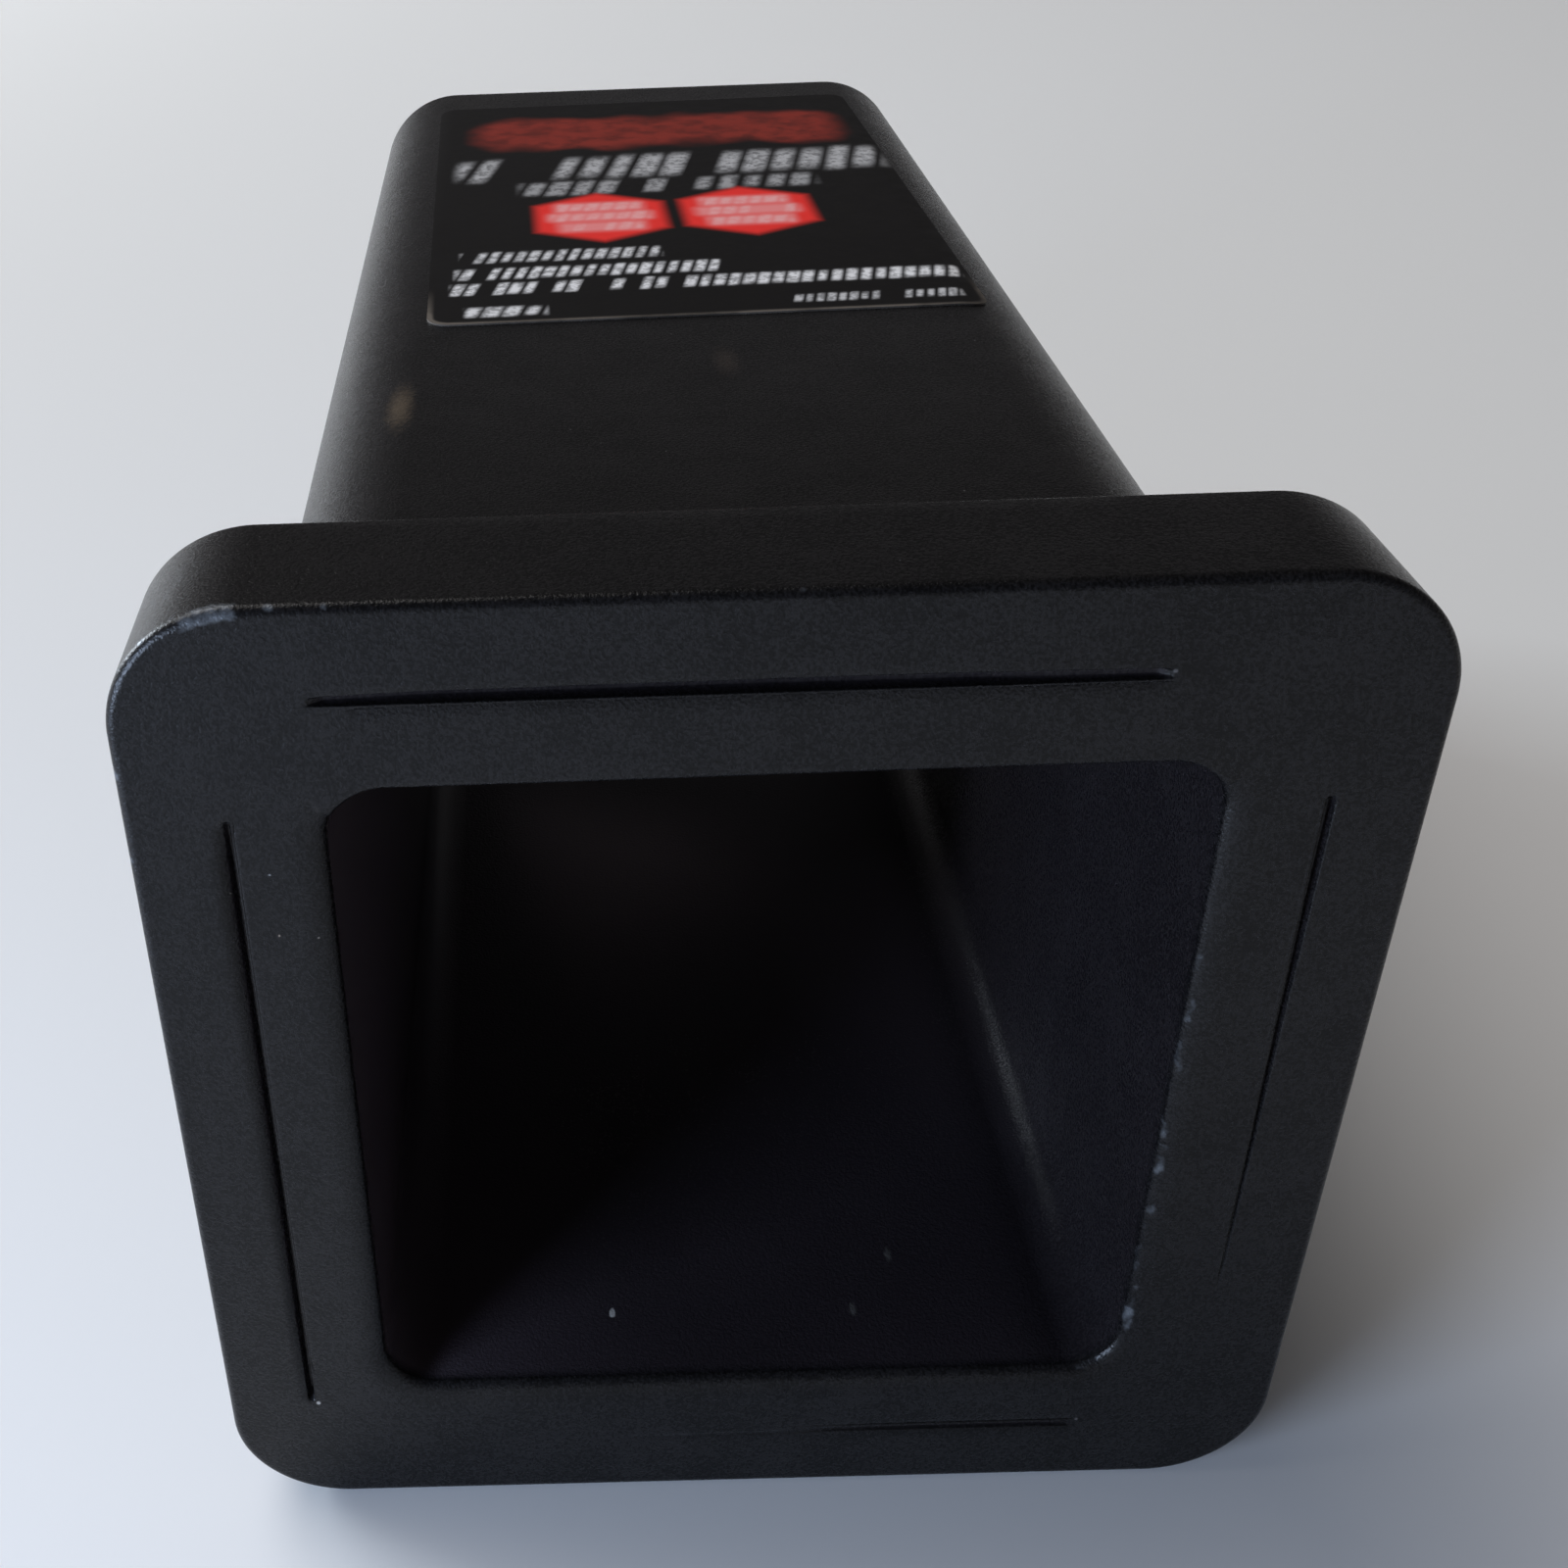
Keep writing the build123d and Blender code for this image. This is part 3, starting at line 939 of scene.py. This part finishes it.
# %% Row of blocks
LEAN = -0.22  # how far a block leans across for each millimetre along
EMPTY_SHARE = 0.12

sizes = {"Across": 0.0, "Along": 0.0, "Height": 1.3, "Pitch": 1.5, "Seed": 0.0}
block_row, row_in, row_out = new_group("block_row", sizes, ["Mask"])
lean = sums(block_row, "MULTIPLY_ADD", row_in.outputs["Along"], LEAN, row_in.outputs["Across"])
step = sums(block_row, "DIVIDE", lean, row_in.outputs["Pitch"])
number = sums(block_row, "FLOOR", step)
within = off_middle(block_row, sums(block_row, "SUBTRACT", step, number), 0.5)
seeded = {"W": sums(block_row, "ADD", number, row_in.outputs["Seed"])}
luck = add_node(block_row, "ShaderNodeTexWhiteNoise", seeded, noise_dimensions="1D")
chances = add_node(block_row, "ShaderNodeSeparateColor", {"Color": luck.outputs["Color"]})
half_wide = sums(block_row, "MULTIPLY_ADD", chances.outputs[0], 0.16, 0.20)
block = ramp(block_row, sums(block_row, "SUBTRACT", within, half_wide), 0.24, -0.16)
up = sums(block_row, "DIVIDE", row_in.outputs["Along"], row_in.outputs["Height"])
reach_up = sums(block_row, "MULTIPLY_ADD", chances.outputs[1], 0.35, 0.72)
over = sums(block_row, "SUBTRACT", sums(block_row, "ABSOLUTE", up), reach_up)
tall = ramp(block_row, over, 0.35, -0.45)
place = object_place(block_row)
blotches = ramp(block_row, noise(block_row, place, 0.75, 2.0), 0.34, 0.58, 0.45, 1.0)
kept = sums(block_row, "GREATER_THAN", luck.outputs["Value"], EMPTY_SHARE)
inked = sums(block_row, "MULTIPLY", blotches, kept)
shape = sums(block_row, "MULTIPLY", sums(block_row, "MULTIPLY", block, tall), inked)
block_row.links.new(shape, row_out.inputs["Mask"])


def block_mask(tree, across, along, middle, half, soft, pitch, seed):
    """A row of blocks, kept to a soft box."""
    box, _ = box_mask(tree, across, along, middle, half, 0.3, soft)
    along_row = sums(tree, "SUBTRACT", along, middle[1])
    values = {"Across": across, "Along": along_row, "Height": half[1], "Pitch": pitch, "Seed": seed}
    row = group_node(tree, block_row, **values)
    return sums(tree, "MULTIPLY", box, row.outputs[0])


# %% [markdown]
# The film's material starts with its own coordinates. Two Mapping nodes move and turn them, so that
# one runs across the film and the other along it, in millimetres from its middle.

# %% Label film
LABEL_MIDDLE = (0.6, 89.6)
LABEL_TURN = 1.2
LABEL_HALF = (24.0, 38.0)
FILM_BLACK = (0.0042, 0.0034, 0.0034, 1)

film, film_tree, film_shader = new_material("label_film")
spot = object_place(film_tree)
to_middle = {"Vector": spot, "Location": [-c * MM for c in (*LABEL_MIDDLE, 0)]}
moved = add_node(film_tree, "ShaderNodeMapping", to_middle).outputs[0]
turned = {
    "Vector": moved,
    "Rotation": (0, 0, math.radians(-LABEL_TURN)),
    "Scale": (1 / MM, 1 / MM, 1 / MM),
}
turned = add_node(film_tree, "ShaderNodeMapping", turned).outputs[0]
parts = add_node(film_tree, "ShaderNodeSeparateXYZ", {"Vector": turned})
across, along = parts.outputs[0], parts.outputs[1]

# %% [markdown]
# The print goes on in layers, as in a press: seven white rows, then the dull red band with its
# uneven edge, then the two red badges, each with three pale rows on it. Each layer is a mask that
# blends its ink over the layers below.

# %% Label print
INK_WHITE = (0.92, 0.92, 0.95, 1)
INK_RED = (0.95, 0.040, 0.032, 1)
INK_PALE_RED = (0.98, 0.62, 0.62, 1)
INK_DULL_RED = (0.260, 0.030, 0.020, 1)
BAND_WANDER = 9.0  # mm between the farthest places of the red band's edge
BADGE_APOTHEM = 6.35
badges = ((-7.55, -8.4), (7.0, -8.1))
badge_rows = ((3.4, 4.2), (0.1, 4.9), (-3.3, 4.0))  # from a badge's middle, and half the width
# middle, half size, softness, pitch of the blocks, strength
print_rows = [
    ((0.9, 9.9), (22.3, 4.6), 2.6, 2.9, 0.85),
    ((0.0, 2.1), (14.9, 2.6), 2.2, 2.5, 0.62),
    ((-11.9, -20.1), (9.3, 1.75), 0.8, 1.25, 0.90),
    ((-9.6, -24.9), (12.1, 1.75), 0.7, 1.25, 1.00),
    ((0.6, -29.1), (22.7, 1.70), 0.6, 1.30, 1.00),
    ((-17.2, -35.2), (3.6, 1.45), 0.5, 1.75, 0.95),
    ((14.4, -34.9), (7.8, 1.15), 0.6, 0.95, 0.70),
]

ink = FILM_BLACK
mottle = noise(film_tree, spot, 2.4, 3.0)
for number, (middle, size, soft, pitch, strength) in enumerate(print_rows):
    mask = block_mask(film_tree, across, along, middle, size, soft, pitch, 17.0 * number + 3)
    mask = sums(film_tree, "MULTIPLY", mask, strength)
    ink = blend_colours(film_tree, mask, ink, INK_WHITE)

wander = noise(film_tree, spot, 9.0, 1.0)
wander = sums(film_tree, "MULTIPLY_ADD", wander, BAND_WANDER, -BAND_WANDER / 2)
band_along = sums(film_tree, "ADD", along, wander)
red_band, _ = box_mask(film_tree, across, band_along, (0.6, 24.0), (20.2, 6.4), 3.0, 4.0)
worn_ink = ramp(film_tree, mottle, 0.30, 0.62, 0.55, 1.0)
ink = blend_colours(film_tree, sums(film_tree, "MULTIPLY", red_band, worn_ink), ink, INK_DULL_RED)

for number, middle in enumerate(badges):
    mask = hexagon_mask(film_tree, across, along, middle, BADGE_APOTHEM, 1.6)
    ink = blend_colours(film_tree, mask, ink, INK_RED)
    for lift, wide in badge_rows:
        row = (middle[0], middle[1] + lift)
        seed = 60.0 + 9 * number + lift
        mask = block_mask(film_tree, across, along, row, (wide, 1.5), 1.8, 1.5, seed)
        box, _ = box_mask(film_tree, across, along, row, (wide, 1.3), 0.5, 2.2)
        mask = sums(film_tree, "MULTIPLY_ADD", mask, 0.35, sums(film_tree, "MULTIPLY", box, 0.55))
        ink = blend_colours(film_tree, mask, ink, INK_PALE_RED)
print("rows on the label:", len(print_rows), "badges:", len(badges))

# %% [markdown]
# Dust gathers along the film's near edge. Round its near left corner the pale colour is stronger,
# and there it is partly a painted highlight. The film itself is smoother than the paint: its only
# relief is a slow wave a fiftieth of a millimetre high.

# %% Label dust, painted corner highlight and shader
EDGE_DUST_AND_HIGHLIGHT = (0.150, 0.130, 0.112, 1)
FILM_ROUGHNESS = (0.42, 0.50)
WAVE_HEIGHT = 0.02  # mm

_, to_edge = box_mask(film_tree, across, along, (0, 0), LABEL_HALF, 2.0, 1.0)
near_edge = ramp(film_tree, along, -28.0, -36.5)
near_edge = sums(film_tree, "MULTIPLY", ramp(film_tree, to_edge, -0.70, -0.10), near_edge)
corner_x = sums(film_tree, "ADD", across, LABEL_HALF[0])
corner_y = sums(film_tree, "ADD", along, LABEL_HALF[1])
# a painted highlight round the near left corner, on top of the dust
corner_highlight = ramp(film_tree, hypotenuse(film_tree, corner_x, corner_y), 4.5, 2.0, 0.0, 1.8)
patchy = ramp(film_tree, noise(film_tree, spot, 6.0, 3.0), 0.35, 0.65, 0.35, 1.0)
patchy = sums(film_tree, "MAXIMUM", patchy, corner_highlight)
ink = blend_colours(film_tree, sums(film_tree, "MULTIPLY", near_edge, patchy), ink, EDGE_DUST_AND_HIGHLIGHT)
film_rough = ramp(film_tree, mottle, 0.3, 0.7, *FILM_ROUGHNESS)
waves = noise(film_tree, spot, 3.0, 2.0)
height = {"Height": waves, "Strength": 1.0, "Distance": WAVE_HEIGHT * MM}
bump = add_node(film_tree, "ShaderNodeBump", height)

film_tree.links.new(ink, film_shader.inputs["Base Color"])
film_tree.links.new(film_rough, film_shader.inputs["Roughness"])
film_tree.links.new(bump.outputs[0], film_shader.inputs["Normal"])
film_shader.inputs["Specular IOR Level"].default_value = 0.14
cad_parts["label"].material_slots[0].material = film

# %% [markdown]
# ## The floor
#
# The object stands on a plain pale floor at the height of the collar's lower edge. A square plane
# would do as well. A wide disc has no corner that could come into view, and it is a turned profile
# like the pin hole's cutter.

# %% Floor
FLOOR_Z = -HALF_COLLAR * MM
FLOOR_GREY = (0.85, 0.85, 0.85, 1)

profile = [(radius, FLOOR_Z) for radius in (0.0001, 0.4, 1.0, 3.0)]  # metres
floor_paint, _, floor_shader = new_material("pale_floor")
floor_shader.inputs["Base Color"].default_value = FLOOR_GREY
floor_shader.inputs["Roughness"].default_value = 0.9
floor_shader.inputs["Specular IOR Level"].default_value = 0.1
floor_points = turned_profile(profile, STEPS_ROUND)
floor_faces = grid_faces(STEPS_ROUND, len(profile), close_rows=True)
floor = mesh_piece("floor", floor_points, floor_faces, floor_paint)

# %% [markdown]
# ## The light
#
# Black paint shows its form only by what it reflects. The light comes from the left and from behind,
# as from a window, so the tube's left corner and the collar's left side are bright and the front
# face is dark. Soft area lamps do that, because a small or hard lamp would leave a hot spot and a
# sharp shadow. A wide one hangs high at the left and behind, two stand lower on the same side, and a
# weak one near the floor makes the front face a little brighter at its lower left.

# %% Light
def soft_lamp(name, place, aim, side, power, colour):
    """A square area lamp at a place in metres, turned to face a point."""
    lamp = bpy.data.lights.new(name, "AREA")
    lamp.shape = "SQUARE"
    lamp.size = side
    lamp.energy = power
    lamp.color = colour
    piece = bpy.data.objects.new(name, lamp)
    bpy.context.scene.collection.objects.link(piece)
    piece.location = place
    piece.rotation_euler = (Vector(aim) - Vector(place)).to_track_quat("-Z", "Y").to_euler()
    piece.visible_camera = False
    print(name, "gives", power, "watts from", side, "metres square")


soft_lamp("window_lamp", (-1.56, 0.92, 0.40), (0, 0.03, 0), 0.75, 28.5, (0.82, 0.91, 1.0))
soft_lamp("back_lamp", (-1.418, 1.38, 0.605), (0, 0.03, 0), 0.30, 2.0, (0.86, 0.95, 1.0))
soft_lamp("low_lamp", (-0.26, -0.19, 0.025), (0, -0.01, 0), 0.13, 1.4, (0.60, 0.74, 1.0))
soft_lamp("top_lamp", (-1.20, 0.86, 2.13), (0, 0.05, 0), 1.8, 38.0, (1.0, 0.97, 0.95))

# %% [markdown]
# ## The room
#
# Where no lamp reaches, a room still gives a little light from all round, and the world does that
# at one plain strength. The round edges of the tube also mirror the room itself: a pale wall at the
# left and behind, and a pale band above the floor. Both are added only for rays from the camera and
# for reflections, which Light Path tells, so they don't light the object. The wall's edges are soft
# steps on the way that a ray looks: x is to the right, y to the back and z up.

# %% Room
AIR = 0.060  # how bright the room is where no lamp is
AIR_TINT = (1.0, 0.97, 1.0, 1)
WALL = 0.36  # how much brighter the pale wall looks
HORIZON = 0.08  # how much brighter the pale band above the floor looks
WALL_SLANT = -0.52  # x for each step of y at the wall's right end, which is left of straight back
WALL_EDGE = (-0.02, 0.02)
WALL_TOP = (0.55, 0.45)
WALL_FRONT = (-0.3, 0.0)
HORIZON_TOP = (0.50, 0.02)

world = bpy.data.worlds.new("studio_air")
bpy.context.scene.world = world
world.use_nodes = True
air = world.node_tree
background = air.nodes["Background"]
background.inputs["Color"].default_value = AIR_TINT
looking = add_node(air, "ShaderNodeTexCoord").outputs["Generated"]
compass = add_node(air, "ShaderNodeSeparateXYZ", {"Vector": looking}).outputs
ray = add_node(air, "ShaderNodeLightPath").outputs
seen = sums(air, "MAXIMUM", ray["Is Camera Ray"], ray["Is Glossy Ray"])
seen = sums(air, "MAXIMUM", seen, ray["Is Transmission Ray"])
leftward = sums(air, "MULTIPLY", compass[0], -1.0)
leftward = sums(air, "MULTIPLY_ADD", compass[1], WALL_SLANT, leftward)
wall = sums(air, "MULTIPLY", ramp(air, leftward, *WALL_EDGE), ramp(air, compass[2], *WALL_TOP))
wall = sums(air, "MULTIPLY", wall, ramp(air, compass[1], *WALL_FRONT))
wall = sums(air, "MULTIPLY", wall, WALL - HORIZON)
horizon = ramp(air, compass[2], *HORIZON_TOP, 0.0, HORIZON)
pale = sums(air, "MULTIPLY", sums(air, "ADD", wall, horizon), seen)
air.links.new(sums(air, "ADD", pale, AIR), background.inputs["Strength"])
bpy.context.scene.view_settings.view_transform = "Standard"
print("the room's light is", AIR, "and its wall looks", round(WALL + AIR, 2))

# %% [markdown]
# ## Finishing
#
# The last line brings the view layer up to date.

# %% Finish
bpy.context.view_layer.update()
